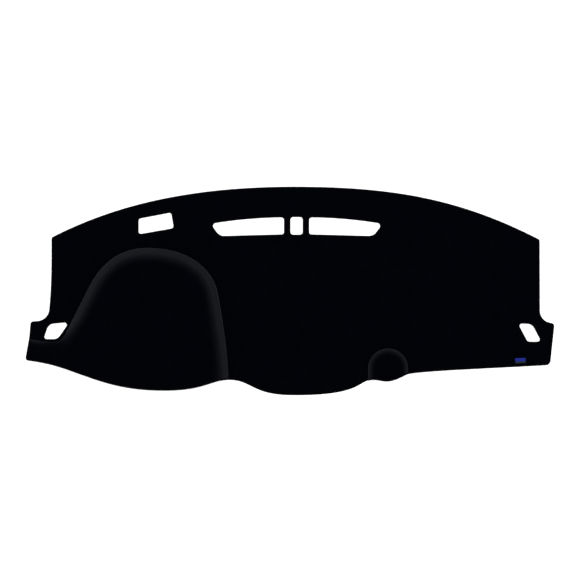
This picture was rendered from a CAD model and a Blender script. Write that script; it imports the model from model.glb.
import math

import bmesh
import bpy
import numpy as np
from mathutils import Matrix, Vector
from mathutils.geometry import delaunay_2d_cdt


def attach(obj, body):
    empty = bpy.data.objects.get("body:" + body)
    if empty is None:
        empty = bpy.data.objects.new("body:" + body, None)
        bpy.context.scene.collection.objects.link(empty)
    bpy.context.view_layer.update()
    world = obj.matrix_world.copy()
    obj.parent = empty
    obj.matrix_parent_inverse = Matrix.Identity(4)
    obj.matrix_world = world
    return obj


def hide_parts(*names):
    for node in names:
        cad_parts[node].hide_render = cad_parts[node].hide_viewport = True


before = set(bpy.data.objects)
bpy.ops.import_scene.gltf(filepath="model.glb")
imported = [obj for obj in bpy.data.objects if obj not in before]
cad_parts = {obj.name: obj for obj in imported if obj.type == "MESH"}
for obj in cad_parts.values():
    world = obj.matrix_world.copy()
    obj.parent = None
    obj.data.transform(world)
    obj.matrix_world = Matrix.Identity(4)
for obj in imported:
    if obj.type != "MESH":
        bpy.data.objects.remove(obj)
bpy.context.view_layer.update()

# Dashboard cover mat: black pile cloth with overlocked edges, laid flat and seen from above.
# The plan is set out in millimetres, as in the part, and made into metres as each mesh is built.
MM = 0.001
up = math.radians
EAST, NORTH, WEST, SOUTH = 0, 90, 180, 270

# Cloth and its overlocked edge
CLOTH = 4.0
SEAM_GAP = 0.3
EDGING_WIDTH = 5.0
TONGUE_INSET = 1.4

# Windscreen edge
CROWN = (12.8, 281.7)
LEFT_SHOULDER = (-643.4, 144.4)
RIGHT_SHOULDER = (674.8, 138.6)
BOW_SLOPE = 27.3
CROWN_REACHES = (261.6, 284)
LEFT_SHOULDER_REACH = 190.1
RIGHT_SHOULDER_REACH = 243.8
SHOULDER_RADIUS = 8

# Sides and wings
LEFT_WAIST = (-652.5, -78.5)
LEFT_WING_TOP = (-699.8, -82.5)
LEFT_WING_SEAM = (-704, -128.4)
LEFT_HEM_END = (-714.4, -187.4)
RIGHT_WAIST = (675.5, -76.5)
RIGHT_WING_TOP = (715, -87.8)
RIGHT_HEM_END = (703, -200.3)
RIGHT_HEM_RADIUS = 14
LEFT_SIDE_REACHES = (110, 80)
LEFT_WAIST_HEADING = 264
RIGHT_WAIST_HEADING = 160
RIGHT_WAIST_REACH = 12
RIGHT_WING_TOP_HEADING = 173
RIGHT_WING_TOP_REACH = 15
WING_CORNER_RADIUS = 8
WING_FILLET_RADIUS = 34

# Front hem; the reaches say how far the curve keeps its heading before and after a point
HOOD_TROUGH = (-339, -268.6)
HOOD_FOOT = (-165, -240.5)
BULGE_TROUGH = (11.2, -281.9)
DOME_CREST = (226, -240.5)
DOME_DIP = (262, -244.4)
DOME_END = (324.1, -224.1)
LEFT_HEM_HEADING = -6.5
LEFT_HEM_REACH = 153.5
HOOD_TROUGH_REACHES = (178.4, 113.8)
HOOD_FOOT_REACHES = (51.6, 64.4)
BULGE_TROUGH_REACHES = (116.6, 193.4)
DOME_CREST_REACHES = (47.4, 17)
DOME_DIP_REACHES = (18, 25)
DOME_END_HEADING = 9
DOME_END_REACHES = (16, 55.5)
RIGHT_HEM_HEADING = 3.3
RIGHT_HEM_REACH = 171.6

# Instrument hood and the small dome
HOOD_RISE = 45
HOOD_ROLL = 43
HOOD_FRONT_DROP = 7
HOOD_RIGHT_SHOULDER = (-193.2, -7)
HOOD_CROWN = (-385, 117)
HOOD_LEFT_SHOULDER = (-543.4, 9.4)
SEAM_CORNER = (-618.03, -138.63)
SEAM_BEND_RADIUS = 35
SEAM_REACH = 62
HOOD_SHOULDER_HEADING = 101
HOOD_CROWN_REACHES = (122, 84)
WING_SEAM_BOW = 2.6
WING_RISE = 5
WING_ROLL = 20
WING_BLEND = 85
LEAST_LEAN = 0.55
BEND_EASE = 0.85
BEND_REACH = 46
ROLL_LEAN = up(20)
DOME_CENTRE = (265.3, -209)
DOME_RADIUS = 54.6
DOME_RISE = 16
DOME_ROLL = 21

LABEL_SIZE = (28, 13.5)
LABEL_STRIP = 5.0


def at(point):
    return np.array(point, float)


def heading(degrees):
    return np.array([math.cos(up(degrees)), math.sin(up(degrees))])


def unit(vector):
    return vector / np.linalg.norm(vector)


def left_of(way):
    return np.array([-way[1], way[0]])


# Sides of an outline, each a run of fine points


def bend(a, heading_a, reach_a, b, heading_b, reach_b, steps=240):
    """A curve that leaves a along heading_a and comes into b along heading_b."""
    a, b = at(a), at(b)
    t = np.linspace(0, 1, steps + 1)[:, None]
    out = a + heading(heading_a) * reach_a
    into = b - heading(heading_b) * reach_b
    return (1 - t) ** 3 * a + 3 * (1 - t) ** 2 * t * out + 3 * (1 - t) * t**2 * into + t**3 * b


def bowed(a, b, bow=0.0, steps=120):
    """A side from a to b, bowed to its left."""
    a, b = at(a), at(b)
    t = np.linspace(0, 1, steps + 1)[:, None]
    middle = (a + b) / 2 + left_of(unit(b - a)) * 2 * bow
    return (1 - t) ** 2 * a + 2 * (1 - t) * t * middle + t**2 * b


def lengths(points):
    steps = np.linalg.norm(np.diff(points, axis=0), axis=1)
    return np.concatenate([[0], np.cumsum(steps)])


def point_along(points, distance):
    sums = lengths(points)
    return np.array([np.interp(distance, sums, points[:, k]) for k in range(points.shape[1])])


def cut_between(points, start, end):
    """The part of a run between two lengths along it."""
    sums = lengths(points)
    inside = points[(sums > start) & (sums < end)]
    return np.vstack([point_along(points, start), inside, point_along(points, end)])


def turn_between(a, b):
    return math.atan2(a[0] * b[1] - a[1] * b[0], float(np.dot(a, b)))


def walk(sides, radii, closed):
    """Lays sides end to end, rounding the corner after each side by its radius."""
    count = len(sides)
    cuts = []
    for i, side in enumerate(sides):
        after = sides[(i + 1) % count]
        radius = radii[i] if i < len(radii) else 0
        if radius == 0 or (not closed and i == count - 1):
            cuts.append((0.0, 0.0))
            continue
        turn = abs(turn_between(side[-1] - side[-2], after[1] - after[0]))
        cuts.append((radius * math.tan(turn / 2), (4 / 3) * math.tan(turn / 4) * radius))
    runs = []
    for i, side in enumerate(sides):
        before, (cut, handle) = cuts[i - 1], cuts[i]
        total = lengths(side)[-1]
        runs.append(cut_between(side, before[0], total - cut))
        if cut == 0:
            continue
        after = sides[(i + 1) % count]
        leaving = runs[-1][-1] - runs[-1][-2]
        trimmed = cut_between(after, cut, lengths(after)[-1])
        arriving = trimmed[2] - trimmed[0]
        corner_from, corner_to = runs[-1][-1], trimmed[0]
        t = np.linspace(0, 1, 41)[:, None]
        out = corner_from + unit(leaving) * handle
        into = corner_to - unit(arriving) * handle
        runs.append(
            (1 - t) ** 3 * corner_from
            + 3 * (1 - t) ** 2 * t * out
            + 3 * (1 - t) * t**2 * into
            + t**3 * corner_to
        )
    points = np.vstack(runs)
    keep = np.concatenate([[True], np.linalg.norm(np.diff(points, axis=0), axis=1) > 1e-6])
    points = points[keep]
    if closed and np.linalg.norm(points[-1] - points[0]) < 1e-6:
        points = points[:-1]
    return points


def paced(points, long, turn, count=None):
    """Places points on a run so that each step has a like share of length and of turning."""
    steps = np.diff(points, axis=0)
    length = np.linalg.norm(steps, axis=1)
    angle = np.unwrap(np.arctan2(steps[:, 1], steps[:, 0]))
    turning = np.abs(np.diff(angle, prepend=angle[0]))
    pace = np.concatenate([[0], np.cumsum(length / long + turning / turn)])
    count = count or max(1, math.ceil(pace[-1]))
    wanted = np.linspace(0, pace[-1], count + 1)
    return np.stack([np.interp(wanted, pace, points[:, k]) for k in range(2)], axis=1)


def mitres(points, closed):
    """The way in from each point, cloth on its left, as long as keeps one inset along both sides."""
    if closed:
        ahead = np.roll(points, -1, axis=0) - points
        behind = points - np.roll(points, 1, axis=0)
    else:
        steps = np.diff(points, axis=0)
        ahead = np.vstack([steps, steps[-1:]])
        behind = np.vstack([steps[:1], steps])
    ahead = ahead / np.linalg.norm(ahead, axis=1)[:, None]
    behind = behind / np.linalg.norm(behind, axis=1)[:, None]
    left_ahead = np.stack([-ahead[:, 1], ahead[:, 0]], axis=1)
    left_behind = np.stack([-behind[:, 1], behind[:, 0]], axis=1)
    middle = left_ahead + left_behind
    middle = middle / np.linalg.norm(middle, axis=1)[:, None]
    return middle / np.sum(middle * left_ahead, axis=1)[:, None]


# Outside edge, anticlockwise from the hood's right foot
outside = walk(
    [
        bend(HOOD_FOOT, EAST, HOOD_FOOT_REACHES[1], BULGE_TROUGH, EAST, BULGE_TROUGH_REACHES[0]),
        bend(BULGE_TROUGH, EAST, BULGE_TROUGH_REACHES[1], DOME_CREST, EAST, DOME_CREST_REACHES[0]),
        bend(DOME_CREST, EAST, DOME_CREST_REACHES[1], DOME_DIP, EAST, DOME_DIP_REACHES[0]),
        bend(DOME_DIP, EAST, DOME_DIP_REACHES[1], DOME_END, DOME_END_HEADING, DOME_END_REACHES[0]),
        bend(
            DOME_END, DOME_END_HEADING, DOME_END_REACHES[1],
            RIGHT_HEM_END, RIGHT_HEM_HEADING, RIGHT_HEM_REACH,
        ),
        bowed(RIGHT_HEM_END, RIGHT_WING_TOP),
        bend(
            RIGHT_WING_TOP, RIGHT_WING_TOP_HEADING, RIGHT_WING_TOP_REACH,
            RIGHT_WAIST, RIGHT_WAIST_HEADING, RIGHT_WAIST_REACH,
        ),
        bowed(RIGHT_WAIST, RIGHT_SHOULDER),
        bend(RIGHT_SHOULDER, WEST - BOW_SLOPE, RIGHT_SHOULDER_REACH, CROWN, WEST, CROWN_REACHES[0]),
        bend(CROWN, WEST, CROWN_REACHES[1], LEFT_SHOULDER, WEST + BOW_SLOPE, LEFT_SHOULDER_REACH),
        bend(
            LEFT_SHOULDER, SOUTH, LEFT_SIDE_REACHES[0],
            LEFT_WAIST, LEFT_WAIST_HEADING, LEFT_SIDE_REACHES[1],
        ),
        bowed(LEFT_WAIST, LEFT_WING_TOP),
        bowed(LEFT_WING_TOP, LEFT_WING_SEAM),
        bowed(LEFT_WING_SEAM, LEFT_HEM_END),
        bend(LEFT_HEM_END, LEFT_HEM_HEADING, LEFT_HEM_REACH, HOOD_TROUGH, EAST, HOOD_TROUGH_REACHES[0]),
        bend(HOOD_TROUGH, EAST, HOOD_TROUGH_REACHES[1], HOOD_FOOT, EAST, HOOD_FOOT_REACHES[0]),
    ],
    [0, 0, 0, 0, RIGHT_HEM_RADIUS, WING_CORNER_RADIUS, WING_FILLET_RADIUS, SHOULDER_RADIUS, 0,
     SHOULDER_RADIUS, WING_FILLET_RADIUS, WING_CORNER_RADIUS, 0, WING_CORNER_RADIUS, 0, 0],
    True,
)
plan_middle = (outside.min(axis=0) + outside.max(axis=0)) / 2


def mark_hem(points, x):
    """Adds a point to the front hem where it passes x."""
    i = next(k for k in range(len(points)) if points[k, 0] < x <= points[k + 1, 0])
    share = (x - points[i, 0]) / (points[i + 1, 0] - points[i, 0])
    crossing = points[i] + (points[i + 1] - points[i]) * share
    return np.insert(points, i + 1, crossing, axis=0), i + 1


outside, dome_left = mark_hem(outside, DOME_CENTRE[0] - DOME_RADIUS)
outside, dome_right = mark_hem(outside, DOME_CENTRE[0] + DOME_RADIUS)
wing_seam = int(np.argmin(np.linalg.norm(outside - at(LEFT_WING_SEAM), axis=1)))
dome_hem = outside[dome_left : dome_right + 1]
hood_hem = np.vstack([outside[wing_seam:], outside[:1]])
front_run = outside[: dome_left + 1]
back_run = outside[dome_right : wing_seam + 1]

flank = at(SEAM_CORNER) - at(HOOD_LEFT_SHOULDER)
flank_heading = math.degrees(math.atan2(flank[1], flank[0])) % 360
hood_seam = walk(
    [
        bend(HOOD_FOOT, NORTH, SEAM_REACH, HOOD_RIGHT_SHOULDER, HOOD_SHOULDER_HEADING, SEAM_REACH),
        bend(
            HOOD_RIGHT_SHOULDER, HOOD_SHOULDER_HEADING, SEAM_REACH,
            HOOD_CROWN, WEST, HOOD_CROWN_REACHES[0],
        ),
        bend(HOOD_CROWN, WEST, HOOD_CROWN_REACHES[1], HOOD_LEFT_SHOULDER, flank_heading, SEAM_REACH),
        bowed(HOOD_LEFT_SHOULDER, SEAM_CORNER),
        bowed(SEAM_CORNER, LEFT_WING_SEAM, WING_SEAM_BOW),
    ],
    [0, 0, 0, SEAM_BEND_RADIUS, 0],
    False,
)
half_circle = np.array([at(DOME_CENTRE) + heading(a) * DOME_RADIUS for a in np.linspace(0, 180, 181)])
dome_seam = walk(
    [bowed(dome_hem[-1], half_circle[0]), half_circle, bowed(half_circle[-1], dome_hem[0])], [], False
)


# The roll at a raised panel's seam: share of the rise at a share of the roll's width


def roll_angle(across):
    return np.arccos(np.clip(math.cos(ROLL_LEAN) * (1 - across), -1, 1))


def roll_height(across):
    return (np.sin(roll_angle(across)) - math.sin(ROLL_LEAN)) / (1 - math.sin(ROLL_LEAN))


def roll_slope(across):
    return math.cos(ROLL_LEAN) / np.tan(roll_angle(across)) / (1 - math.sin(ROLL_LEAN))


def roll_shares(steps):
    angles = np.linspace(ROLL_LEAN, math.pi / 2, steps + 1)
    return 1 - np.cos(angles) / math.cos(ROLL_LEAN)


def smooth(x, low, high):
    t = np.clip((x - low) / (high - low), 0, 1)
    return t * t * (3 - 2 * t)


class Raised:
    """A raised panel: its seam, its hem, and how high and how wide its roll is at each place."""

    def __init__(self, seam, hem, rise_at, roll_at):
        self.seam = seam
        self.hem = hem
        self.rise_at = rise_at
        self.roll_at = roll_at

    def slope(self, plan, into, across):
        probe = 0.5
        x_step, y_step = np.array([probe, 0]), np.array([0, probe])
        gradient = np.stack(
            [
                (self.rise_at(plan + x_step) - self.rise_at(plan - x_step)) / (2 * probe),
                (self.rise_at(plan + y_step) - self.rise_at(plan - y_step)) / (2 * probe),
            ],
            axis=-1,
        )
        along = self.rise_at(plan) * roll_slope(across) / self.roll_at(plan)
        return gradient * roll_height(across)[..., None] + into * along[..., None]

    def half_fold(self, plan):
        return np.arctan(self.rise_at(plan) * roll_slope(np.zeros(len(plan))) / self.roll_at(plan)) / 2

    def point(self, plan, into, across, depth):
        """The point a depth below the cloth's top face."""
        slope = self.slope(plan, into, across)
        normal = np.concatenate([-slope, np.ones((*slope.shape[:-1], 1))], axis=-1)
        normal /= np.linalg.norm(normal, axis=-1)[..., None]
        height = CLOTH + self.rise_at(plan) * roll_height(across)
        top = np.concatenate([plan, height[..., None]], axis=-1)
        return top - normal * depth[..., None]

    def foot(self, plan, lean, depth):
        """The same at the fold, where flat and raised cloth meet along a mitre."""
        shift = lean * (depth * np.tan(self.half_fold(plan)))[..., None]
        return np.concatenate([plan + shift, (CLOTH - depth)[..., None]], axis=-1)


def hood_share(plan):
    return smooth(plan[..., 0], SEAM_CORNER[0] - WING_BLEND / 2, SEAM_CORNER[0] + WING_BLEND / 2)


def hood_rise(plan):
    front = smooth(HOOD_LEFT_SHOULDER[1] - plan[..., 1], 0, HOOD_LEFT_SHOULDER[1] - HOOD_TROUGH[1])
    share = hood_share(plan)
    return WING_RISE * (1 - share) + (HOOD_RISE - HOOD_FRONT_DROP * front) * share


def hood_roll(plan):
    share = hood_share(plan)
    return WING_ROLL * (1 - share) + HOOD_ROLL * share


hood = Raised(hood_seam, hood_hem, hood_rise, hood_roll)
dome = Raised(
    dome_seam,
    dome_hem,
    lambda plan: np.full(plan.shape[:-1], float(DOME_RISE)),
    lambda plan: np.full(plan.shape[:-1], float(DOME_ROLL)),
)


def lay_out(raised, columns, left_apron, right_apron):
    """Stations along a raised panel's seam, and places down both legs and along its hem.

    The two aprons are how far each leg runs on past its roll. On the hood's left the leg has to go
    round the wing's corner, or the columns of the mesh would cross each other."""
    total = lengths(raised.seam)[-1]
    inner = cut_between(raised.seam, END_CLEAR, total - END_CLEAR)
    inner = paced(inner, SEAM_LONG, SEAM_TURN, columns - 2)
    raised.stations = np.vstack([raised.seam[:1], inner, raised.seam[-1:]])
    ahead = np.vstack([raised.stations[1:], raised.stations[-1:]])
    behind = np.vstack([raised.stations[:1], raised.stations[:-1]])
    way = ahead - behind
    way /= np.linalg.norm(way, axis=1)[:, None]
    raised.into = np.stack([-way[:, 1], way[:, 0]], axis=1)
    raised.shares = np.concatenate([roll_shares(ROLL_STEPS), np.ones(APRON_STEPS)])
    reach = lengths(raised.hem)[-1]
    apron = np.maximum(0, np.arange(len(raised.shares)) - ROLL_STEPS) / APRON_STEPS
    left = raised.shares * float(raised.roll_at(raised.hem[:1])[0]) + apron * left_apron
    right = raised.shares * float(raised.roll_at(raised.hem[-1:])[0]) + apron * right_apron
    left_leg = np.array([point_along(raised.hem, d) for d in left])
    right_leg = np.array([point_along(raised.hem, reach - d) for d in right])
    middle = cut_between(raised.hem, left[-1], reach - right[-1])
    middle = paced(middle, SEAM_LONG, SEAM_TURN, columns)[1:-1]
    raised.edge_plan = np.vstack([left_leg, middle, right_leg[::-1]])
    legs = len(raised.shares)
    raised.edge_across = np.concatenate([raised.shares, np.ones(len(middle)), raised.shares[::-1]])
    raised.edge_into = np.zeros_like(raised.edge_plan)
    raised.edge_into[:legs] = raised.into[-1]
    raised.edge_into[-legs:] = raised.into[0]


# The mesh of a raised panel: columns along its seam, rows over its roll and over its apron
HOOD_COLUMNS = 150
DOME_COLUMNS = 72
END_CLEAR = 13
SEAM_LONG = 10
SEAM_TURN = up(6)
ROLL_STEPS = 16
APRON_STEPS = 22
APRON = 22
WING_APRON = 50
PANELS = (hood, dome)
lay_out(hood, HOOD_COLUMNS, WING_APRON, APRON)
lay_out(dome, DOME_COLUMNS, APRON, APRON)


class Places:
    """Places along a cloth edge: plan, way in, panel they are on, and how far up its roll."""

    def __init__(self, plan, panel=None, into=None, across=None):
        count = len(plan)
        self.plan = plan
        self.panel = np.zeros(count, int) if panel is None else panel
        self.into = np.zeros((count, 2)) if into is None else into
        self.across = np.zeros(count) if across is None else across
        self.inward = mitres(plan, True)
        self.lean = self.into.copy()

    def points(self, inset, depth):
        """Points at an inset from the edge and a depth below the cloth's top face."""
        inset = np.broadcast_to(inset, len(self.plan))
        depth = np.broadcast_to(depth, len(self.plan)).astype(float)
        plan = self.plan + self.inward * inset[:, None]
        points = np.column_stack([plan, CLOTH - depth])
        for number, raised in enumerate(PANELS, 1):
            on = (self.panel == number) & (self.across > 0)
            points[on] = raised.point(plan[on], self.into[on], self.across[on], depth[on])
            at_foot = (self.panel == number) & (self.across == 0)
            fold = np.tan(raised.half_fold(self.plan[at_foot]))
            points[at_foot, :2] += self.lean[at_foot] * (depth[at_foot] * fold)[:, None]
        return points


FLAT_LONG = 12
FLAT_TURN = up(8)
front_places = paced(front_run, FLAT_LONG, FLAT_TURN)
back_places = paced(back_run, FLAT_LONG, FLAT_TURN)
hood_count, dome_count = len(hood.edge_plan), len(dome.edge_plan)
edge_plan = np.vstack([front_places[:-1], dome.edge_plan, back_places[1:-1], hood.edge_plan[:-1]])
edge_panel = np.zeros(len(edge_plan), int)
edge_into = np.zeros_like(edge_plan)
edge_across = np.zeros(len(edge_plan))
dome_at = len(front_places) - 1
hood_at = dome_at + dome_count + len(back_places) - 2
edge_panel[dome_at : dome_at + dome_count] = 2
edge_into[dome_at : dome_at + dome_count] = dome.edge_into
edge_across[dome_at : dome_at + dome_count] = dome.edge_across
edge_panel[hood_at:] = 1
edge_into[hood_at:] = hood.edge_into[:-1]
edge_across[hood_at:] = hood.edge_across[:-1]
edge_panel[0] = 1
edge_into[0] = hood.edge_into[-1]
edge_across[0] = hood.edge_across[-1]
edge = Places(edge_plan, edge_panel, edge_into, edge_across)


def follow_seam(spots, along):
    """Turns the way in to run along the seam, and the fold to lean along the edge."""
    for i in spots:
        reach = np.linalg.norm(edge.inward[i])
        middle = edge.inward[i] / reach
        edge_way = left_of(middle)
        edge.lean[i] = edge_way / np.dot(edge_way, edge.into[i])
        edge.inward[i] = along * (reach / np.dot(along, middle))


count = len(edge_plan)
hood.spots = [i % count for i in range(hood_at, hood_at + hood_count)]
dome.spots = list(range(dome_at, dome_at + dome_count))
for raised in PANELS:
    follow_seam(raised.spots[: ROLL_STEPS + 1], unit(raised.stations[-2] - raised.stations[-1]))
    follow_seam(raised.spots[-ROLL_STEPS - 1 :], unit(raised.stations[1] - raised.stations[0]))


# Cut-outs


def cut_out(corners):
    """A cut-out from corners given as point, radius and outward bow of the side that follows."""
    plan = np.array([corner[0] for corner in corners], float)
    area = 0.5 * np.sum(plan[:, 0] * np.roll(plan[:, 1], -1) - plan[:, 1] * np.roll(plan[:, 0], -1))
    outward = -1 if area > 0 else 1
    total = len(corners)
    sides = []
    radii = []
    for i, corner in enumerate(corners):
        bow = corner[2] if len(corner) > 2 else 0
        sides.append(bowed(corner[0], corners[(i + 1) % total][0], outward * bow))
        radii.append(corners[(i + 1) % total][1])
    around = walk(sides, radii, True)
    points = paced(np.vstack([around, around[:1]]), FLAT_LONG, FLAT_TURN)[:-1]
    return points[::-1] if outward < 0 else points


# Drops are measured down from the crown of the windscreen edge
VENT_X, VENT_DROP, VENT_WIDTH, VENT_HEIGHT, VENT_RADIUS = 18.3, 82.6, 32.6, 46.8, 7
SLOT_DROP, SLOT_HEIGHT, SLOT_LENGTH, SLOT_CLEAR = 83.5, 45, 197.2, 8
SLOT_HEEL, SLOT_HEEL_DROP, SLOT_HEEL_RADIUS = 172.9, 4.7, 25
SLOT_TIP_DROP, SLOT_TIP_RADIUS, SLOT_TOP_BOW = 17.3, 8, 4
SLOT_LOW_RADIUS, SLOT_HIGH_RADIUS = 6, 7
DRIVER_RIGHT, DRIVER_DROP, DRIVER_WIDTH, DRIVER_HEIGHT = -313.5, 70.6, 94.3, 41.2
DRIVER_SLANT, DRIVER_LEAN, DRIVER_RADII = 16.5, 7, (6, 7)
DEMISTER_ROUND = 20
LEFT_DEMISTER_CORNER = (LEFT_WAIST[0] + 2, LEFT_WING_TOP[1] - 7.3)
LEFT_DEMISTER_LEAN, LEFT_DEMISTER_HEIGHT, LEFT_DEMISTER_FLOOR = 14, 39.8, 37.3
LEFT_DEMISTER_TOP, LEFT_DEMISTER_RADIUS = (54.5, 5.2), 6
RIGHT_DEMISTER_CORNER = (RIGHT_WAIST[0] - 22, RIGHT_WING_TOP[1] - 1.9)
RIGHT_DEMISTER_TOP, RIGHT_DEMISTER_HEIGHT = (37, 1.5), 46.9
RIGHT_DEMISTER_LEAN, RIGHT_DEMISTER_FLOOR, RIGHT_DEMISTER_RADII = 25, 36, (6, 9)
crown_y = CROWN[1]


def slot(side):
    def x(reach):
        return VENT_X + side * (VENT_WIDTH / 2 + 2 * EDGING_WIDTH + SLOT_CLEAR + reach)

    top = crown_y - SLOT_DROP
    bottom = top - SLOT_HEIGHT
    return cut_out(
        [
            ((x(0), bottom), SLOT_LOW_RADIUS),
            ((x(SLOT_HEEL), bottom - SLOT_HEEL_DROP), SLOT_HEEL_RADIUS),
            ((x(SLOT_LENGTH), top - SLOT_TIP_DROP), SLOT_TIP_RADIUS, SLOT_TOP_BOW),
            ((x(0), top), SLOT_HIGH_RADIUS),
        ]
    )


def centre_vent():
    left, right = VENT_X - VENT_WIDTH / 2, VENT_X + VENT_WIDTH / 2
    top = crown_y - VENT_DROP
    bottom = top - VENT_HEIGHT
    corners = ((left, bottom), (right, bottom), (right, top), (left, top))
    return cut_out([(corner, VENT_RADIUS) for corner in corners])


def driver_opening():
    right, top = DRIVER_RIGHT, crown_y - DRIVER_DROP
    left, left_top = right - DRIVER_WIDTH, top - DRIVER_SLANT
    sharper, rounder = DRIVER_RADII
    return cut_out(
        [
            ((left, left_top - DRIVER_HEIGHT), sharper),
            ((right, top - DRIVER_HEIGHT), rounder),
            ((right - DRIVER_LEAN, top), sharper),
            ((left, left_top), rounder),
        ]
    )


def left_demister():
    x, y = LEFT_DEMISTER_CORNER
    left, bottom = x - LEFT_DEMISTER_LEAN, y - LEFT_DEMISTER_HEIGHT
    return cut_out(
        [
            ((x, y), DEMISTER_ROUND),
            ((left, bottom), LEFT_DEMISTER_RADIUS),
            ((left + LEFT_DEMISTER_FLOOR, bottom), DEMISTER_ROUND),
            ((x + LEFT_DEMISTER_TOP[0], y + LEFT_DEMISTER_TOP[1]), LEFT_DEMISTER_RADIUS),
        ]
    )


def right_demister():
    x, y = RIGHT_DEMISTER_CORNER
    right, bottom = x + RIGHT_DEMISTER_LEAN, y - RIGHT_DEMISTER_HEIGHT
    sharper, rounder = RIGHT_DEMISTER_RADII
    return cut_out(
        [
            ((x, y), DEMISTER_ROUND),
            ((x - RIGHT_DEMISTER_TOP[0], y + RIGHT_DEMISTER_TOP[1]), sharper),
            ((right - RIGHT_DEMISTER_FLOOR, bottom), rounder),
            ((right, bottom), sharper),
        ]
    )


cut_outs = {
    "defroster_left": Places(slot(-1)),
    "defroster_right": Places(slot(1)),
    "centre_vent": Places(centre_vent()),
    "driver_opening": Places(driver_opening()),
    "demister_left": Places(left_demister()),
    "demister_right": Places(right_demister()),
}


# Meshes


def to_metres(points):
    moved = points.copy()
    moved[:, :2] -= plan_middle
    return moved * MM


def mesh_piece(name, points, faces, steep=None):
    """A smooth piece whose faces turn out, from points in millimetres, each marked how steep it is."""
    mesh = bpy.data.meshes.new(name)
    mesh.from_pydata(to_metres(points).tolist(), [], [list(map(int, face)) for face in faces])
    if steep is not None:
        mark = mesh.attributes.new("steep", "FLOAT", "POINT")
        mark.data.foreach_set("value", np.asarray(steep, np.float32))
    work = bmesh.new()
    work.from_mesh(mesh)
    bmesh.ops.remove_doubles(work, verts=work.verts, dist=2e-6)
    bmesh.ops.recalc_face_normals(work, faces=work.faces)
    if work.calc_volume(signed=True) < 0:
        bmesh.ops.reverse_faces(work, faces=work.faces)
    work.to_mesh(mesh)
    work.free()
    mesh.shade_smooth()
    piece = bpy.data.objects.new(name, mesh)
    bpy.context.collection.objects.link(piece)
    return piece


def closed_sheet(name, top, under, faces, steep=None):
    """A closed sheet from the points of its top and its underside and the faces over them."""
    if steep is None:
        steep = np.zeros(len(top))
    offset = len(top)
    seen = {}
    for face in faces:
        for k, a in enumerate(face):
            seen[(a, face[(k + 1) % len(face)])] = True
    rim = [(a, b) for (a, b) in seen if (b, a) not in seen]
    under_faces = [[i + offset for i in reversed(face)] for face in faces]
    wall = [[b, a, a + offset, b + offset] for (a, b) in rim]
    steep = np.concatenate([steep, np.zeros(len(under))])
    return mesh_piece(name, np.vstack([top, under]), list(faces) + under_faces + wall, steep)


# Depth of the cloth's face below its full height, under the edging and beside a seam
EDGE_PROFILE = ((1.4, 1.25), (2.8, 1.2), (4.3, 1.05), (4.9, 0.6), (5.6, 0.18), (6.6, 0.03), (8.0, 0.0))
SEAM_PROFILE = ((0.15, 1.0), (0.35, 0.62), (0.7, 0.34), (1.2, 0.16), (2.0, 0.05), (3.2, 0.0))
EDGE_ROWS = 5
EDGE_INSETS = tuple(inset for inset, _ in EDGE_PROFILE[:EDGE_ROWS])
SEAM_INSETS = (0.15, 0.35, 0.7, 1.0, 1.2)
# How deep the first rows of a raised cloth lie beside its seam, and how wide its strip along the hem is
SEAM_ROWS = (1.0, 0.22, 0.04)
HEM_STRIP = 7.6
# A distance at which an edge or a seam has no effect
FAR_OFF = 99

# The main cloth's face: loose points in rows along its borders, and a scattered grid inside them
FACE_STEP = 8.0
FACE_SCATTER = 1.6
FACE_SEED = 4
BORDER_ROWS = (6.5, 8.0)
BORDER_STEP = 7.0
SEAM_LEAD = 4.5
BORDER_CLEAR = (6.3, 1.7)
FACE_CLEAR = (11, 7)


def face_depth(edge_distance, seam_distance):
    """How far the face lies below its full height, at distances from an edge and from a seam."""
    by_edge = np.interp(edge_distance, *np.transpose(EDGE_PROFILE))
    by_seam = np.interp(seam_distance, *np.transpose(SEAM_PROFILE))
    return np.maximum(by_edge, by_seam)


def boundary_ring(points, on_seam, edge_inset, seam_inset):
    """A closed outline moved in, by one inset along its edges and another along its seams."""
    ahead = np.roll(points, -1, axis=0) - points
    ahead /= np.linalg.norm(ahead, axis=1)[:, None]
    behind = np.roll(ahead, 1, axis=0)
    n_ahead = np.stack([-ahead[:, 1], ahead[:, 0]], axis=1)
    n_behind = np.stack([-behind[:, 1], behind[:, 0]], axis=1)
    inset_ahead = np.where(on_seam, seam_inset, edge_inset)
    inset_behind = np.where(np.roll(on_seam, 1), np.roll(seam_inset, 1), edge_inset)
    middle = n_ahead + n_behind
    middle /= np.linalg.norm(middle, axis=1)[:, None]
    cos = np.sum(middle * n_ahead, axis=1)
    moved = middle * ((inset_ahead + inset_behind) / 2 / cos)[:, None]
    corner = np.roll(on_seam, 1) != on_seam
    for i in np.where(corner)[0]:
        matrix = np.array([n_ahead[i], n_behind[i]])
        moved[i] = np.linalg.solve(matrix, [inset_ahead[i], inset_behind[i]])
    return points + moved


def inside(points, polygon):
    """Which points lie inside a polygon."""
    x, y = points[:, 0], points[:, 1]
    result = np.zeros(len(points), bool)
    for (x0, y0), (x1, y1) in zip(polygon, np.roll(polygon, -1, axis=0)):
        if y0 == y1:
            continue
        crosses = (y0 > y) != (y1 > y)
        result ^= crosses & (x < (x1 - x0) * (y - y0) / (y1 - y0) + x0)
    return result


def nearest(points, targets):
    """The distance from each point to the nearest of the targets."""
    best = np.full(len(points), 1e9)
    for start in range(0, len(points), 500):
        gap = points[start : start + 500, None, :] - targets[None, :, :]
        best[start : start + 500] = np.sqrt(np.min(np.sum(gap**2, axis=2), axis=1))
    return best


def dense(points, step=1.5):
    """A closed outline with points no farther apart than a step."""
    around = np.vstack([points, points[:1]])
    sums = lengths(around)
    wanted = np.arange(0, sums[-1], step)
    return np.stack([np.interp(wanted, sums, around[:, k]) for k in range(2)], axis=1)


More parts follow.
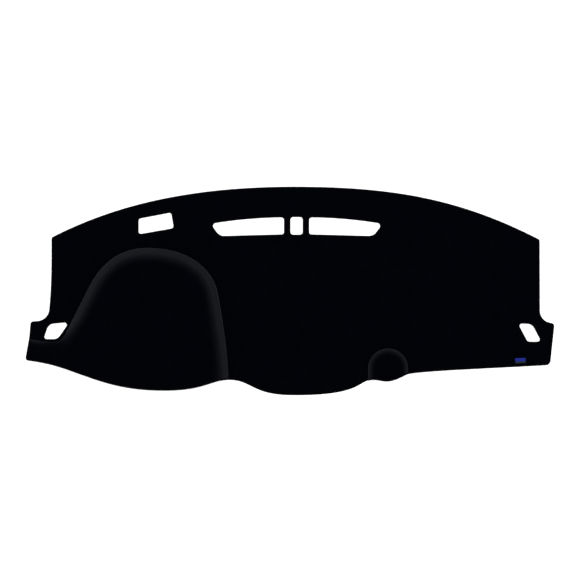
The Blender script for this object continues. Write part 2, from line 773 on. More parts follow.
def main_panel():
    """The flat cloth: rows of faces under each edging and seam, and a fill of triangles inside them."""
    hood_side = hood.stations[::-1]
    dome_side = dome.stations[::-1]
    parts = [
        (front_places, False, None),
        (dome_side, True, dome),
        (back_places, False, None),
        (hood_side, True, hood),
    ]
    outline = np.vstack([part[0][:-1] for part in parts])
    on_seam = np.concatenate([np.full(len(part[0]) - 1, part[1]) for part in parts])
    fold = np.concatenate(
        [np.tan(p[2].half_fold(p[0][:-1])) if p[2] else np.zeros(len(p[0]) - 1) for p in parts]
    )
    closed = [outline] + [places.plan for places in cut_outs.values()]
    top, under, faces, last = [], [], [], []
    offset = 0
    for loop, points in enumerate(closed):
        seam = on_seam if loop == 0 else np.zeros(len(points), bool)
        lean = fold if loop == 0 else np.zeros(len(points))
        for row, (edge_inset, seam_inset) in enumerate(zip(EDGE_INSETS, SEAM_INSETS)):
            depth_edge = float(face_depth(edge_inset, FAR_OFF))
            depth_seam = float(face_depth(FAR_OFF, seam_inset))
            depth = np.where(seam | np.roll(seam, 1), depth_seam, depth_edge)
            depth = np.where(seam != np.roll(seam, 1), max(depth_seam, depth_edge), depth)
            share = (1 - row / (len(EDGE_INSETS) - 1)) ** 2
            ring = boundary_ring(points, seam, edge_inset, np.full(len(points), seam_inset))
            below = boundary_ring(points, seam, edge_inset, seam_inset - share * (CLOTH - depth) * lean)
            above = boundary_ring(points, seam, edge_inset, seam_inset - share * depth * lean)
            top.append(np.column_stack([above if row == 0 else ring, CLOTH - depth]))
            under.append(np.column_stack([below, depth]))
        size = len(points)
        for row in range(len(EDGE_INSETS) - 1):
            for i in range(size):
                j = (i + 1) % size
                a, b = offset + row * size, offset + (row + 1) * size
                faces.append([a + i, a + j, b + j, b + i])
        offset += size * len(EDGE_INSETS)
        last.append((offset - size, size))
    top, under = np.vstack(top), np.vstack(under)
    edges_dense = np.vstack([front_run, back_run] + [dense(p) for p in closed[1:]])
    seams_dense = np.vstack([hood_seam, dome_seam])
    low, high = outline.min(axis=0), outline.max(axis=0)
    grid = np.stack(
        np.meshgrid(np.arange(low[0], high[0], FACE_STEP), np.arange(low[1], high[1], FACE_STEP)), axis=-1
    ).reshape(-1, 2)
    grid += np.random.default_rng(FACE_SEED).uniform(-FACE_SCATTER, FACE_SCATTER, grid.shape)
    loose = []
    for inset in BORDER_ROWS:
        for points in closed[1:]:
            loose.append(dense(points + mitres(points, True) * inset, BORDER_STEP))
        ring = boundary_ring(outline, on_seam, inset, np.full(len(outline), inset - SEAM_LEAD))
        loose.append(dense(ring, BORDER_STEP))
    candidates = np.vstack(loose)

    def clear(points, gaps):
        by_edge, by_seam = nearest(points, edges_dense), nearest(points, seams_dense)
        return points[(by_edge > gaps[0]) & (by_seam > gaps[1])]

    free = np.vstack([clear(candidates, BORDER_CLEAR), clear(grid, FACE_CLEAR)])
    fill_ring = [top[start : start + size, :2] for start, size in last]

    def on_cloth(points):
        kept = inside(points, fill_ring[0])
        for ring in fill_ring[1:]:
            kept &= ~inside(points, ring)
        return kept

    free = free[on_cloth(free)]
    ring_points = np.vstack(fill_ring)
    borders = []
    at_index = 0
    for _, size in last:
        borders += [(at_index + i, at_index + (i + 1) % size) for i in range(size)]
        at_index += size
    flat_points = [Vector(p) for p in np.vstack([ring_points, free]).tolist()]
    out_points, _, triangles, origin, _, _ = delaunay_2d_cdt(flat_points, borders, [], 0, 1e-5)
    out_points = np.array([tuple(p) for p in out_points])
    middles = np.array([out_points[list(t)].mean(axis=0) for t in triangles])
    keep = on_cloth(middles)
    ring_index = np.concatenate([np.arange(start, start + size) for start, size in last])
    depth = face_depth(nearest(out_points, edges_dense), nearest(out_points, seams_dense))
    number = {}
    extra_top, extra_under = [], []
    for i, sources in enumerate(origin):
        known = [s for s in sources if s < len(ring_points)]
        if known:
            number[i] = int(ring_index[known[0]])
        else:
            number[i] = len(top) + len(extra_top)
            extra_top.append([*out_points[i], CLOTH - depth[i]])
            extra_under.append([*out_points[i], depth[i]])
    for triangle, kept in zip(triangles, keep):
        if kept:
            faces.append([number[i] for i in triangle])
    top = np.vstack([top, extra_top])
    under = np.vstack([under, extra_under])
    return closed_sheet("main_cloth", top, under, faces)


def raised_panel(name, raised):
    """A raised cloth: columns from its seam over the roll and the apron to the strip along its hem."""
    columns, rows = len(raised.stations), len(raised.shares)
    spots = np.array(raised.spots)
    hem_spots = spots[rows - 1 : len(spots) - rows + 1][::-1]
    rolls = ROLL_STEPS + 1
    stands = SEAM_GAP / 2 / np.cos(raised.half_fold(raised.stations))

    def steepness(plan, across):
        """How far the roll leans, which opens the pile; it eases off where the seam turns into the wing."""
        eased = 1 - BEND_EASE * np.exp(-np.sum((plan - at(SEAM_CORNER)) ** 2, axis=-1) / BEND_REACH**2)
        lean = np.maximum(raised.rise_at(plan) / raised.roll_at(plan), LEAST_LEAN)
        slope = lean * roll_slope(across) * eased
        return 1 - 1 / np.sqrt(1 + slope**2)

    def face(depth_of):
        """Points of one face, first the grid and then the rows of the strip along the hem."""
        at_seam = np.full(rows, depth_of(0.0))
        at_seam[: len(SEAM_ROWS)] = [depth_of(depth) for depth in SEAM_ROWS]
        grid = np.zeros((columns, rows, 3))
        steep = np.zeros((columns, rows))
        edge_rows = edge.points(HEM_STRIP, depth_of(0.0))
        hem_plan = edge.plan[hem_spots] + edge.inward[hem_spots] * HEM_STRIP
        for c in range(1, columns - 1):
            station, into = raised.stations[c], raised.into[c]
            roll_width = float(raised.roll_at(station[None])[0])
            plan = station + into * (raised.shares[:rolls, None] * roll_width)
            steps = np.arange(1, APRON_STEPS + 1)[:, None] / APRON_STEPS
            apron = plan[-1] + (hem_plan[c] - plan[-1]) * steps
            plan = np.vstack([plan, apron])
            way = np.zeros((rows, 2))
            way[:rolls] = into
            grid[c] = raised.point(plan, way, raised.shares, at_seam)
            steep[c] = steepness(plan, raised.shares)
            shift = at_seam[0] * math.tan(float(raised.half_fold(station[None])[0]))
            grid[c, 0] = [*(station + into * shift), CLOTH - at_seam[0]]
        grid[-1] = edge_rows[spots[:rows]]
        grid[0] = edge_rows[spots[: -rows - 1 : -1]]
        for c in (0, columns - 1):
            deep = edge.points(HEM_STRIP, at_seam[0])
            grid[c, 0] = deep[spots[0] if c else spots[-1]]
        first, second = grid[:, 0], grid[:, 1]
        grid[:, 0] += (second - first) * (stands / np.linalg.norm(second - first, axis=1))[:, None]
        leg_steep = steepness(edge.plan[spots], edge.across[spots])
        steep[-1] = leg_steep[:rows]
        steep[0] = leg_steep[: -rows - 1 : -1]
        strips = []
        for inset, depth in reversed(EDGE_PROFILE[:EDGE_ROWS]):
            row = edge.points(inset, depth_of(depth))[spots]
            for end, beside, station in ((0, 1, -1), (-1, -2, 0)):
                way = row[beside] - row[end]
                row[end] += way * stands[station] / np.linalg.norm(way)
            strips.append(row)
        marks = np.concatenate([steep.ravel(), *[leg_steep] * len(strips)])
        return np.vstack([grid.reshape(-1, 3), *strips]), marks

    top, steep = face(lambda depth: depth)
    under, _ = face(lambda depth: CLOTH - depth)
    faces = []
    for c in range(columns - 1):
        for r in range(rows - 1):
            a = c * rows + r
            faces.append([a, a + rows, a + rows + 1, a + 1])
    around = [(columns - 1) * rows + r for r in range(rows)]
    around += [c * rows + rows - 1 for c in range(columns - 2, -1, -1)]
    around += [r for r in range(rows - 2, -1, -1)]
    before = around
    start = columns * rows
    for _ in range(EDGE_ROWS):
        row = list(range(start, start + len(around)))
        for i in range(len(around) - 1):
            faces.append([before[i], before[i + 1], row[i + 1], row[i]])
        before = row
        start += len(around)
    return closed_sheet(name, top, under, faces, steep)


def edging_base(name, places):
    """The wrap of thread as one smooth strip with a channel for the cloth."""
    outer, inner, nose, reach = 0.42, 1.0, 2.0, EDGING_WIDTH - 0.1
    half = CLOTH / 2
    section = [(reach, outer)]
    for angle in np.linspace(0, 180, 9):
        across, down = math.sin(up(angle)), math.cos(up(angle))
        section.append((nose - (nose - outer) * across, half - (half - outer) * down))
    section += [(reach, CLOTH - outer), (reach, CLOTH - inner), (nose, CLOTH - inner)]
    section += [(TONGUE_INSET, half), (nose, inner), (reach, inner)]
    rings = [places.points(inset, depth) for inset, depth in section]
    size, around = len(section), len(places.plan)
    faces = []
    for i in range(around):
        j = (i + 1) % around
        for k in range(size):
            m = (k + 1) % size
            faces.append([k * around + i, k * around + j, m * around + j, m * around + i])
    return mesh_piece(name, np.vstack(rings), faces)


def plain_mesh(name, points, faces, uv=None):
    """A mesh in metres, which stays out of the scene until something is made from it."""
    mesh = bpy.data.meshes.new(name)
    mesh.from_pydata([tuple(p) for p in points], [], faces)
    if uv:
        layer = mesh.uv_layers.new(name="thread")
        for loop in mesh.loops:
            layer.data[loop.index].uv = uv[loop.vertex_index]
    mesh.shade_smooth()
    return mesh


END_TAPER = 0.55


def thread_tube(name, line, wide, thick, sides=5):
    """A flattened thread along a line of (along, inward, up) in millimetres."""
    line = np.array(line, float)
    ways = np.gradient(line, axis=0)
    points, uv, faces = [], [], []
    run = lengths(line)
    taper = np.ones(len(line))
    taper[0] = taper[-1] = END_TAPER
    for k, (centre, way) in enumerate(zip(line, ways)):
        way = unit(way)
        side = unit(np.cross(way, np.cross([1.0, 0, 0], way)))
        face = np.cross(way, side)
        for j in range(sides):
            turn = 2 * math.pi * j / sides
            offset = side * math.cos(turn) * wide / 2 + face * math.sin(turn) * thick / 2
            points.append((centre + offset * taper[k]) * MM)
            uv.append((j / sides, run[k]))
    for k in range(len(line) - 1):
        for j in range(sides):
            m = (j + 1) % sides
            faces.append((k * sides + j, k * sides + m, (k + 1) * sides + m, (k + 1) * sides + j))
    faces.append(tuple(range(sides - 1, -1, -1)))
    faces.append(tuple((len(line) - 1) * sides + j for j in range(sides)))
    return plain_mesh(name, points, faces, uv)


def source(name, mesh):
    """An object that is only instanced, kept out of the scene."""
    return bpy.data.objects.new(name, mesh)


def add_node(tree, kind, inputs=None, **settings):
    """Adds a node, with its inputs set to a value or joined to another node's output."""
    node = tree.nodes.new(kind)
    for key, value in settings.items():
        setattr(node, key, value)
    for key, value in (inputs or {}).items():
        socket = node.inputs[key]
        if isinstance(value, bpy.types.NodeSocket):
            tree.links.new(value, socket)
        else:
            socket.default_value = value
    return node


def maths(tree, operation, *values):
    """The result of one operation on one or two numbers."""
    return add_node(tree, "ShaderNodeMath", dict(enumerate(values)), operation=operation).outputs[0]


def new_group(name, kind, inputs, outputs):
    """A node group with named sockets; gives its tree, its inputs and its output node."""
    tree = bpy.data.node_groups.new(name, kind)
    for title, socket, value in inputs:
        item = tree.interface.new_socket(title, in_out="INPUT", socket_type=socket)
        if value is not None:
            item.default_value = value
    for title, socket in outputs:
        tree.interface.new_socket(title, in_out="OUTPUT", socket_type=socket)
    return tree, add_node(tree, "NodeGroupInput").outputs, add_node(tree, "NodeGroupOutput").inputs


def repeat_group():
    """Places a small shape at every point, turned along the point's way, each a little different."""
    tree, given, out = new_group(
        "repeated stitches",
        "GeometryNodeTree",
        [
            ("Geometry", "NodeSocketGeometry", None),
            ("Shape", "NodeSocketObject", None),
            ("Lean", "NodeSocketFloat", 0.1),
            ("Size Spread", "NodeSocketFloat", 0.05),
            ("Seed", "NodeSocketInt", 1),
            ("Finish", "NodeSocketMaterial", None),
        ],
        [("Geometry", "NodeSocketGeometry")],
    )
    way = add_node(tree, "GeometryNodeInputNamedAttribute", {"Name": "way"}, data_type="FLOAT_VECTOR")
    inward = add_node(tree, "GeometryNodeInputNamedAttribute", {"Name": "inward"}, data_type="FLOAT_VECTOR")
    turned = add_node(
        tree,
        "FunctionNodeAxesToRotation",
        {"Primary Axis": inward.outputs["Attribute"], "Secondary Axis": way.outputs["Attribute"]},
        primary_axis="Y",
        secondary_axis="X",
    )
    low = maths(tree, "MULTIPLY", given["Lean"], -1.0)
    lean = add_node(
        tree,
        "FunctionNodeRandomValue",
        {2: low, 3: given["Lean"], "Seed": given["Seed"]},
        data_type="FLOAT",
    )
    tilt = add_node(tree, "ShaderNodeCombineXYZ", {"Z": lean.outputs[1]})
    leaned = add_node(
        tree,
        "FunctionNodeRotateRotation",
        {"Rotation": turned.outputs[0], "Rotate By": tilt.outputs[0]},
        rotation_space="LOCAL",
    )
    smaller = maths(tree, "SUBTRACT", 1.0, given["Size Spread"])
    size = add_node(
        tree,
        "FunctionNodeRandomValue",
        {2: smaller, 3: 1.0, "Seed": given["Seed"]},
        data_type="FLOAT",
    )
    shape = add_node(tree, "GeometryNodeObjectInfo", {"Object": given["Shape"]})
    placed = add_node(
        tree,
        "GeometryNodeInstanceOnPoints",
        {
            "Points": given["Geometry"],
            "Instance": shape.outputs["Geometry"],
            "Rotation": leaned.outputs[0],
            "Scale": size.outputs[1],
        },
    )
    shade = add_node(
        tree, "FunctionNodeRandomValue", {2: 0.0, 3: 1.0, "Seed": given["Seed"]}, data_type="FLOAT"
    )
    toned = add_node(
        tree,
        "GeometryNodeStoreNamedAttribute",
        {"Geometry": placed.outputs[0], "Name": "tone", "Value": shade.outputs[1]},
        data_type="FLOAT",
        domain="INSTANCE",
    )
    real = add_node(tree, "GeometryNodeRealizeInstances", {"Geometry": toned.outputs[0]})
    finished = add_node(
        tree, "GeometryNodeSetMaterial", {"Geometry": real.outputs[0], "Material": given["Finish"]}
    )
    tree.links.new(finished.outputs[0], out["Geometry"])
    return tree


def repeated(name, group, places, shape, finish, lean, spread, seed):
    """A piece of many small shapes, one at each place given as (points, ways, inwards) in metres."""
    points, ways, inwards = places
    mesh = bpy.data.meshes.new(name)
    mesh.from_pydata([tuple(p) for p in points], [], [])
    for title, vectors in (("way", ways), ("inward", inwards)):
        attribute = mesh.attributes.new(title, "FLOAT_VECTOR", "POINT")
        attribute.data.foreach_set("vector", np.asarray(vectors, np.float32).ravel())
    carrier = bpy.data.objects.new(name, mesh)
    bpy.context.collection.objects.link(carrier)
    modifier = carrier.modifiers.new("stitches", "NODES")
    sockets = {item.name: item.identifier for item in group.interface.items_tree if item.in_out == "INPUT"}
    modifier.node_group = group
    modifier[sockets["Shape"]] = shape
    modifier[sockets["Lean"]] = lean
    modifier[sockets["Size Spread"]] = spread
    modifier[sockets["Seed"]] = seed
    modifier[sockets["Finish"]] = finish
    graph = bpy.context.evaluated_depsgraph_get()
    made = bpy.data.meshes.new_from_object(carrier.evaluated_get(graph), depsgraph=graph)
    carrier.modifiers.clear()
    carrier.data = made
    for title in ("way", "inward"):
        if title in made.attributes:
            made.attributes.remove(made.attributes[title])
    made.shade_smooth()
    return carrier


def evenly(path, pitch):
    """Places at an even pitch round a closed path of points."""
    around = np.vstack([path, path[:1]])
    sums = lengths(around)
    total = max(1, round(sums[-1] / pitch))
    return np.arange(total) * sums[-1] / total, sums, around


def loop_places(places, pitch):
    """Where each loop of the edging sits: the nose of the edge, the way along it and the way in."""
    nose = places.points(0.0, CLOTH / 2)
    back = places.points(EDGING_WIDTH, CLOTH / 2)
    wanted, sums, around = evenly(nose, pitch)
    back = np.vstack([back, back[:1]])
    ends = [np.array([np.interp(wanted, sums, run[:, k]) for k in range(3)]).T for run in (around, back)]
    ahead = np.roll(ends[0], -1, axis=0) - np.roll(ends[0], 1, axis=0)
    ahead /= np.linalg.norm(ahead, axis=1)[:, None]
    inward = ends[1] - ends[0]
    inward /= np.linalg.norm(inward, axis=1)[:, None]
    return to_metres(ends[0]), ahead, inward


# Finishes


def fibre_group():
    """Fine fibres with a nap that lies this way and that; sizes are in metres."""
    tree, given, out = new_group(
        "cloth fibres",
        "ShaderNodeTree",
        [
            ("Position", "NodeSocketVector", None),
            ("Tuft Size", "NodeSocketFloat", 0.001),
            ("Nap Size", "NodeSocketFloat", 0.02),
            ("Nap Share", "NodeSocketFloat", 0.4),
        ],
        [("Tone", "NodeSocketFloat"), ("Height", "NodeSocketFloat")],
    )
    fine = maths(tree, "DIVIDE", 1.0, given["Tuft Size"])
    broad = maths(tree, "DIVIDE", 1.0, given["Nap Size"])
    tufts = add_node(
        tree,
        "ShaderNodeTexVoronoi",
        {"Vector": given["Position"], "Scale": fine, "Randomness": 1.0},
        feature="F1",
    )
    hairs = add_node(
        tree,
        "ShaderNodeTexNoise",
        {"Vector": given["Position"], "Scale": fine, "Detail": 3.0, "Roughness": 0.6},
    )
    nap = add_node(
        tree,
        "ShaderNodeTexNoise",
        {"Vector": given["Position"], "Scale": broad, "Detail": 2.0, "Roughness": 0.5},
    )
    crown = maths(tree, "SUBTRACT", 1.0, tufts.outputs["Distance"])
    height = maths(tree, "MULTIPLY", crown, hairs.outputs["Fac"])
    mixed = add_node(
        tree,
        "ShaderNodeMix",
        {"Factor": given["Nap Share"], 2: height, 3: nap.outputs["Fac"]},
    )
    tree.links.new(mixed.outputs[0], out["Tone"])
    tree.links.new(height, out["Height"])
    return tree


def ply_group():
    """Plies twisted together along a thread, from its place round and along it."""
    tree, given, out = new_group(
        "twisted plies",
        "ShaderNodeTree",
        [
            ("Thread Place", "NodeSocketVector", None),
            ("Plies", "NodeSocketFloat", 3.0),
            ("Twist Length", "NodeSocketFloat", 2.4),
        ],
        [("Height", "NodeSocketFloat")],
    )
    place = add_node(tree, "ShaderNodeSeparateXYZ", {0: given["Thread Place"]})
    along = maths(tree, "DIVIDE", place.outputs[1], given["Twist Length"])
    turned = maths(tree, "ADD", place.outputs[0], along)
    share = maths(tree, "MULTIPLY", turned, given["Plies"])
    wave = maths(tree, "PINGPONG", share, 1.0)
    tree.links.new(wave, out["Height"])
    return tree


def weave_group():
    """A satin weave of warp over weft; threads per metre both ways."""
    tree, given, out = new_group(
        "satin weave",
        "ShaderNodeTree",
        [
            ("Place", "NodeSocketVector", None),
            ("Warp Threads", "NodeSocketFloat", 3000.0),
            ("Weft Threads", "NodeSocketFloat", 1800.0),
        ],
        [("Height", "NodeSocketFloat"), ("Crossing", "NodeSocketFloat")],
    )
    place = add_node(tree, "ShaderNodeSeparateXYZ", {0: given["Place"]})
    warp = maths(tree, "MULTIPLY", place.outputs[0], given["Warp Threads"])
    weft = maths(tree, "MULTIPLY", place.outputs[1], given["Weft Threads"])
    thread = maths(tree, "PINGPONG", warp, 0.5)
    number = maths(tree, "FLOOR", warp)
    shift = maths(tree, "MULTIPLY", number, 0.4)
    shifted = maths(tree, "ADD", weft, shift)
    over = maths(tree, "PINGPONG", shifted, 0.5)
    height = maths(tree, "MULTIPLY", thread, over)
    tree.links.new(height, out["Height"])
    tree.links.new(over, out["Crossing"])
    return tree


fibres = fibre_group()
plies = ply_group()
weave = weave_group()


def new_finish(name, roughness, specular, sheen, sheen_roughness, sheen_tint):
    """A material and its shader, with the values that are the same all over."""
    material = bpy.data.materials.new(name)
    material.use_nodes = True
    shader = material.node_tree.nodes["Principled BSDF"]
    shader.inputs["Roughness"].default_value = roughness
    shader.inputs["Specular IOR Level"].default_value = specular
    shader.inputs["Sheen Weight"].default_value = sheen
    shader.inputs["Sheen Roughness"].default_value = sheen_roughness
    shader.inputs["Sheen Tint"].default_value = (*sheen_tint, 1)
    return material, material.node_tree, shader


def two_tones(tree, share, low, high):
    """A colour between two tones, by a share."""
    ramp = add_node(tree, "ShaderNodeValToRGB", {0: share})
    ramp.color_ramp.elements[0].position = 0.25
    ramp.color_ramp.elements[1].position = 0.75
    ramp.color_ramp.elements[0].color = (*low, 1)
    ramp.color_ramp.elements[1].color = (*high, 1)
    return ramp.outputs[0]


def relief(tree, shader, height, strength, distance):
    """Fine relief of the surface, from a height between 0 and 1; the distance is in metres."""
    given = {"Height": height, "Strength": strength, "Distance": distance}
    tree.links.new(add_node(tree, "ShaderNodeBump", given).outputs[0], shader.inputs["Normal"])


# How far the pile opens, and so how much lighter it looks, where the cloth rolls over steeply
OPENED_PILE = (
    (0.03, 0.07),
    (0.086, 0.2),
    (0.245, 0.58),
    (0.384, 0.95),
    (0.61, 0.78),
    (0.78, 0.45),
    (1.0, 0.4),
)


def cloth_finish(name, low, high, tuft, nap, nap_share, bump, sheen, sheen_roughness, opened=None):
    """A dull cloth of fine fibres, lighter in the opened colour where its pile stands open."""
    material, tree, shader = new_finish(
        name,
        roughness=1.0,
        specular=0.0,
        sheen=sheen,
        sheen_roughness=sheen_roughness,
        sheen_tint=(0.78, 0.84, 1.0),
    )
    spot = add_node(tree, "ShaderNodeTexCoord")
    group = add_node(tree, "ShaderNodeGroup", node_tree=fibres)
    tree.links.new(spot.outputs["Object"], group.inputs["Position"])
    group.inputs["Tuft Size"].default_value = tuft
    group.inputs["Nap Size"].default_value = nap
    group.inputs["Nap Share"].default_value = nap_share
    colour = two_tones(tree, group.outputs["Tone"], low, high)
    if opened:
        steep = add_node(tree, "ShaderNodeAttribute", attribute_name="steep", attribute_type="GEOMETRY")
        share = add_node(tree, "ShaderNodeFloatCurve", {"Value": steep.outputs["Fac"]})
        curve = share.mapping.curves[0]
        curve.points[0].location = (0, 0)
        curve.points[1].location = (1, OPENED_PILE[-1][1])
        for place, level in OPENED_PILE[:-1]:
            curve.points.new(place, level)
        share.mapping.update()
        ragged = add_node(
            tree, "ShaderNodeMapRange", {0: group.outputs["Tone"], 1: 0.2, 2: 0.8, 3: 0.75, 4: 1.25}
        )
        level = maths(tree, "MULTIPLY", share.outputs[0], ragged.outputs[0])
        lifted = add_node(
            tree,
            "ShaderNodeMix",
            {0: level, 6: colour, 7: (*opened, 1)},
            data_type="RGBA",
        )
        colour = lifted.outputs[2]
    tree.links.new(colour, shader.inputs["Base Color"])
    relief(tree, shader, group.outputs["Height"], strength=bump, distance=tuft)
    return material


def thread_finish(name, low, high, sheen):
    """A dull spun thread; each loop has its own tone."""
    material, tree, shader = new_finish(
        name,
        roughness=0.8,
        specular=0.02,
        sheen=sheen,
        sheen_roughness=0.4,
        sheen_tint=(0.85, 0.9, 1.0),
    )
    place = add_node(tree, "ShaderNodeUVMap", uv_map="thread")
    group = add_node(tree, "ShaderNodeGroup", node_tree=plies)
    tree.links.new(place.outputs[0], group.inputs["Thread Place"])
    tone = add_node(tree, "ShaderNodeAttribute", attribute_name="tone", attribute_type="GEOMETRY")
    share = maths(tree, "MULTIPLY", tone.outputs["Fac"], group.outputs[0])
    tree.links.new(two_tones(tree, share, low, high), shader.inputs["Base Color"])
    relief(tree, shader, group.outputs[0], strength=0.6, distance=0.0002)
    return material


def label_finish():
    """Woven label: a field of blue over a strip of grey green along its lower edge, otherwise blank."""
    material, tree, shader = new_finish(
        "woven label",
        roughness=0.55,
        specular=0.08,
        sheen=0.1,
        sheen_roughness=0.4,
        sheen_tint=(0.6, 0.7, 1.0),
    )
    place = add_node(tree, "ShaderNodeUVMap", uv_map="thread")
    group = add_node(tree, "ShaderNodeGroup", node_tree=weave)
    tree.links.new(place.outputs[0], group.inputs["Place"])
    split = add_node(tree, "ShaderNodeSeparateXYZ", {0: place.outputs[0]})
    strip = maths(tree, "LESS_THAN", split.outputs[1], LABEL_STRIP * MM)
    blue = two_tones(tree, group.outputs["Crossing"], (0.006, 0.012, 0.16), (0.012, 0.026, 0.33))
    grey = two_tones(tree, group.outputs["Crossing"], (0.008, 0.014, 0.017), (0.018, 0.03, 0.035))
    fields = add_node(
        tree, "ShaderNodeMix", {0: strip, 6: blue, 7: grey}, data_type="RGBA"
    )
    tree.links.new(fields.outputs[2], shader.inputs["Base Color"])
    relief(tree, shader, group.outputs["Height"], strength=0.5, distance=0.0003)
    return material


pile = cloth_finish(
    "pile cloth",
    low=(0.0004, 0.0006, 0.0013),
    high=(0.0014, 0.0017, 0.0034),
    tuft=0.0011,
    nap=0.03,
    nap_share=0.35,
    bump=0.5,
    sheen=0.055,
    sheen_roughness=0.35,
    opened=(0.0093, 0.0098, 0.0117),
)
back = cloth_finish(
    "cloth back",
    low=(0.0012, 0.0013, 0.0016),
    high=(0.004, 0.0042, 0.005),
    tuft=0.0016,
    nap=0.05,
    nap_share=0.2,
    bump=0.4,
    sheen=0.02,
    sheen_roughness=0.5,
)
thread = thread_finish(
    "edging thread", low=(0.0004, 0.0004, 0.0006), high=(0.0016, 0.0017, 0.0022), sheen=0.01
)
wrap_thread = cloth_finish(
    "edging core",
    low=(0.0003, 0.0003, 0.0005),
    high=(0.0008, 0.0008, 0.001),
    tuft=0.0008,
    nap=0.02,
    nap_share=0.2,
    bump=0.3,
    sheen=0.0,
    sheen_roughness=0.5,
)
label_cloth = label_finish()
label_thread = thread_finish(
    "label thread", low=(0.004, 0.008, 0.09), high=(0.01, 0.02, 0.2), sheen=0.05
)


# The pieces


def belongs(piece, slot, *nodes):
    """Says which body a piece rides on, which solids it stands for and what it is made of."""
    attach(piece, "root")
    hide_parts(*nodes)


# Faces that look down by more than this show the back
UNDERSIDE = -0.02


def finish_cloth(piece):
    """Pile on top and the plain back below."""
    piece.data.materials.append(pile)
    piece.data.materials.append(back)
    for face in piece.data.polygons:
        face.material_index = 1 if face.normal.z < UNDERSIDE else 0


main = main_panel()
hood_cloth = raised_panel("hood_cloth", hood)
dome_cloth = raised_panel("dome_cloth", dome)
for piece, node in ((main, "main_panel"), (hood_cloth, "hood_panel"), (dome_cloth, "dome_panel")):
    finish_cloth(piece)
    belongs(piece, "pile_cloth", node)

repeat = repeat_group()
LOOP_PITCH = 1.7
LOOP_WIDTH, LOOP_THICKNESS = 1.75, 0.72
LOOP_LEAN, LOOP_SPREAD = 0.09, 0.04
LOOP_LINE = (
    (0.85, 5.15, 1.2),
    (0.4, 4.95, 1.6),
    (0.05, 4.2, 1.66),
    (0.0, 2.1, 1.6),
    (-0.05, 0.95, 1.2),
    (-0.1, 0.45, 0.0),
    (-0.05, 0.95, -1.2),
    (0.05, 2.1, -1.6),
    (0.2, 4.7, -1.6),
)
loop_shape = source("loop", thread_tube("loop", LOOP_LINE, LOOP_WIDTH, LOOP_THICKNESS))
edge_runs = {"outside": edge, **cut_outs}
for seed, (name, places) in enumerate(edge_runs.items(), 1):
    wrap = edging_base(name + "_wrap", places)
    wrap.data.materials.append(wrap_thread)
    spots = loop_places(places, LOOP_PITCH)
    loops = repeated(name + "_loops", repeat, spots, loop_shape, thread, LOOP_LEAN, LOOP_SPREAD, seed)
    belongs(wrap, "edging_thread", name + "_edging")
    belongs(loops, "edging_thread", name + "_edging")


# Woven label near the right end of the front hem

LABEL_FROM_END = 79.5
LABEL_FROM_EDGING = 5.1
STITCH_FROM_END = 2.2
STITCH_FROM_SIDE = 1.6
STITCH_COUNT = 6
STITCH_HEIGHT = 0.72
STITCH_LEAN, STITCH_SPREAD, STITCH_SEED = 0.08, 0.05, 20
hem_marked, label_index = mark_hem(outside, RIGHT_HEM_END[0] - LABEL_FROM_END)
label_way = unit(hem_marked[label_index + 1] - hem_marked[label_index - 1])
label_middle = hem_marked[label_index] + left_of(label_way) * (
    EDGING_WIDTH + LABEL_FROM_EDGING + LABEL_SIZE[1] / 2
)


def label_piece():
    """A thin cloth with soft edges, a little sunk where it is stitched down at its two ends."""
    across, down = 46, 24
    rim_width, sink_depth, sink_width = 0.5, 0.16, 0.8
    least_top, least_under = 0.3, 0.03
    points, uv, faces = [], [], []
    for side in (1, 0):
        for i in range(across + 1):
            for j in range(down + 1):
                u, v = i / across * 2 - 1, j / down * 2 - 1
                x, y = u * LABEL_SIZE[0] / 2, v * LABEL_SIZE[1] / 2
                past_x, past_y = abs(x) - LABEL_SIZE[0] / 2, abs(y) - LABEL_SIZE[1] / 2
                rim = max(past_x + rim_width, past_y + rim_width, 0) / rim_width
                end = past_x + STITCH_FROM_END
                sink = sink_depth * math.exp(-((end / sink_width) ** 2))
                drape = 0.1 * math.sin(u * 4.1 + 0.6) * (1 - abs(v) ** 4) + 0.06 * math.sin(v * 5 + u * 2)
                middle = 0.42 + 0.5 * SEAM_GAP
                half = 0.36 * math.sqrt(max(0.0, 1 - 0.75 * rim**2))
                lift = (middle + half if side else middle - half) - sink + drape * 0.5
                spot = label_middle + label_way * x + left_of(label_way) * y
                points.append((spot[0], spot[1], CLOTH + max(lift, least_top if side else least_under)))
                uv.append(((x + LABEL_SIZE[0] / 2) * MM, (y + LABEL_SIZE[1] / 2) * MM))
    columns = down + 1
    for i in range(across):
        for j in range(down):
            a = i * columns + j
            faces.append((a, a + columns, a + columns + 1, a + 1))
    top_count = (across + 1) * columns
    faces += [tuple(top_count + k for k in reversed(face)) for face in faces]
    border = [(i * columns, (i + 1) * columns) for i in range(across)]
    border += [(across * columns + j, across * columns + j + 1) for j in range(down)]
    border += [((i + 1) * columns + down, i * columns + down) for i in range(across - 1, -1, -1)]
    border += [(j + 1, j) for j in range(down - 1, -1, -1)]
    faces += [(b, a, a + top_count, b + top_count) for a, b in border]
    mesh = plain_mesh("label", to_metres(np.array(points)), faces, uv)
    piece = bpy.data.objects.new("woven_label_cloth", mesh)
    bpy.context.collection.objects.link(piece)
    return piece


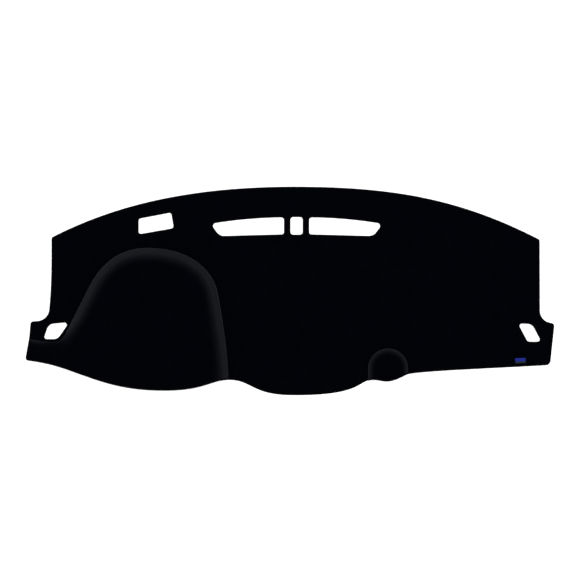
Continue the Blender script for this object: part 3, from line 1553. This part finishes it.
label = label_piece()
label.data.materials.append(label_cloth)
belongs(label, "woven_label", "woven_label")
STITCH_WIDTH, STITCH_THICKNESS = 0.34, 0.3
STITCH_LINE = (
    (0, -1.0, -0.25),
    (0, -0.75, 0.05),
    (0, -0.3, 0.16),
    (0, 0.3, 0.16),
    (0, 0.75, 0.05),
    (0, 1.0, -0.25),
)
stitch_shape = source("stitch", thread_tube("stitch", STITCH_LINE, STITCH_WIDTH, STITCH_THICKNESS))
stitch_spots, stitch_ways = [], []
for end in (-1, 1):
    for side in np.linspace(-1, 1, STITCH_COUNT):
        spot = label_middle + label_way * end * (LABEL_SIZE[0] / 2 - STITCH_FROM_END)
        spot = spot + left_of(label_way) * side * (LABEL_SIZE[1] / 2 - STITCH_FROM_SIDE)
        stitch_spots.append([*spot, CLOTH + STITCH_HEIGHT])
        stitch_ways.append([*label_way, 0])
stitch_inward = [[*left_of(np.array(way[:2])), 0] for way in stitch_ways]
label_stitches = repeated(
    "woven_label_stitches",
    repeat,
    (to_metres(np.array(stitch_spots)), np.array(stitch_ways), np.array(stitch_inward)),
    stitch_shape,
    label_thread,
    STITCH_LEAN,
    STITCH_SPREAD,
    STITCH_SEED,
)
belongs(label_stitches, "woven_label", "woven_label")

# Floor, light and camera

# What the camera sees of the floor is lifted to white, so that only its deepest shadow shows
FLOOR_LIFT = 0.3
FLOOR_HALF = 6
LIGHT = 1.38
WHITE = (1, 1, 1, 1)
FLOOR_TONE = (0.98, 0.98, 0.98, 1)
floor_corners = [(x * FLOOR_HALF, y * FLOOR_HALF, 0) for x, y in ((-1, -1), (1, -1), (1, 1), (-1, 1))]
floor = bpy.data.objects.new("floor", plain_mesh("floor", floor_corners, [(0, 1, 2, 3)]))
bpy.context.collection.objects.link(floor)
floor_paint, floor_tree, floor_shader = new_finish(
    "floor paint", roughness=1.0, specular=0.0, sheen=0.0, sheen_roughness=0.5, sheen_tint=(1, 1, 1)
)
floor_shader.inputs["Base Color"].default_value = FLOOR_TONE
seen = add_node(floor_tree, "ShaderNodeLightPath").outputs["Is Camera Ray"]
floor_shader.inputs["Emission Color"].default_value = WHITE
lift = maths(floor_tree, "MULTIPLY", seen, FLOOR_LIFT)
floor_tree.links.new(lift, floor_shader.inputs["Emission Strength"])
floor.data.materials.append(floor_paint)

world = bpy.data.worlds.new("studio")
bpy.context.scene.world = world
world.use_nodes = True
sky = world.node_tree.nodes["Background"]
sky.inputs["Color"].default_value = WHITE
sky.inputs["Strength"].default_value = LIGHT
bpy.context.scene.view_settings.view_transform = "Standard"

CAMERA_HEIGHT = 10.0
CAMERA_X = 0.0027
VIEW_WIDTH = 1.5714
camera_data = bpy.data.cameras.new("camera")
camera_data.sensor_width = 36
camera_data.lens = camera_data.sensor_width * CAMERA_HEIGHT / VIEW_WIDTH
camera = bpy.data.objects.new("camera", camera_data)
bpy.context.collection.objects.link(camera)
camera.location = (CAMERA_X, 0.0, CAMERA_HEIGHT)
bpy.context.scene.camera = camera
